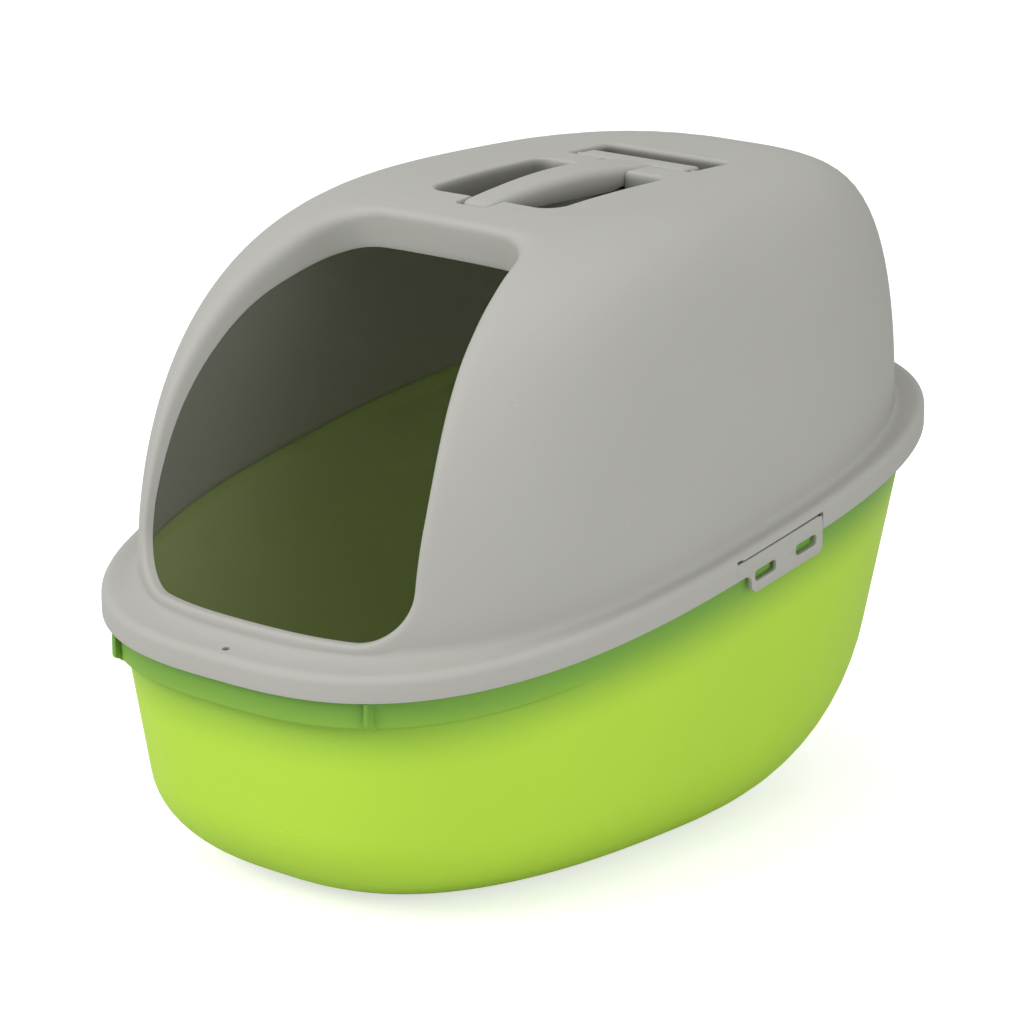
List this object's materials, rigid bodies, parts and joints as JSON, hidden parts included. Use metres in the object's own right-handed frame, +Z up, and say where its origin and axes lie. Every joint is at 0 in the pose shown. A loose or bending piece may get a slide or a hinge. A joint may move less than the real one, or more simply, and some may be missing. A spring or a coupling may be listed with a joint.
{
  "type": "covered cat litter box",
  "caption": "Covered cat litter box: open tray under a domed hood with a wide front entrance, a folding carry handle sunk in the roof and flexing latches in the rim.",
  "frame": {"origin": "on the floor, under the middle of the overall box", "axes": "-Y towards the entrance, +Y to the rear, +Z up, X across; the part is symmetric about x = 0"},
  "size_m": [0.397, 0.54, 0.4023],
  "materials": {
    "green_plastic": "satin",
    "grey_plastic": "satin"
  },
  "bodies": {
    "tray": {"tray": "green_plastic"},
    "hood": {"hood": "grey_plastic"},
    "carry_handle": {"carry_handle": "grey_plastic"},
    "left_latch": {"left_latch": "grey_plastic"},
    "right_latch": {"right_latch": "grey_plastic"}
  },
  "joints": [
    {"name": "hood_lift", "type": "slide", "parent": "tray", "child": "hood", "axis": [0, 0, 1], "range_m": [0, 0.25]},
    {"name": "handle_fold", "type": "hinge", "parent": "hood", "child": "carry_handle", "pos_m": [0, 0.112, 0.3935], "axis": [-1, 0, 0], "range_deg": [0, 100]},
    {"name": "left_latch_flex", "type": "hinge", "parent": "hood", "child": "left_latch", "pos_m": [-0.1985, -0.031, 0.2], "axis": [0, 0, 1], "range_deg": [0, 12], "stiffness_Nm_per_rad": 0.5},
    {"name": "right_latch_flex", "type": "hinge", "parent": "hood", "child": "right_latch", "pos_m": [0.1985, -0.031, 0.2], "axis": [0, 0, -1], "range_deg": [0, 12], "stiffness_Nm_per_rad": 0.5}
  ]
}
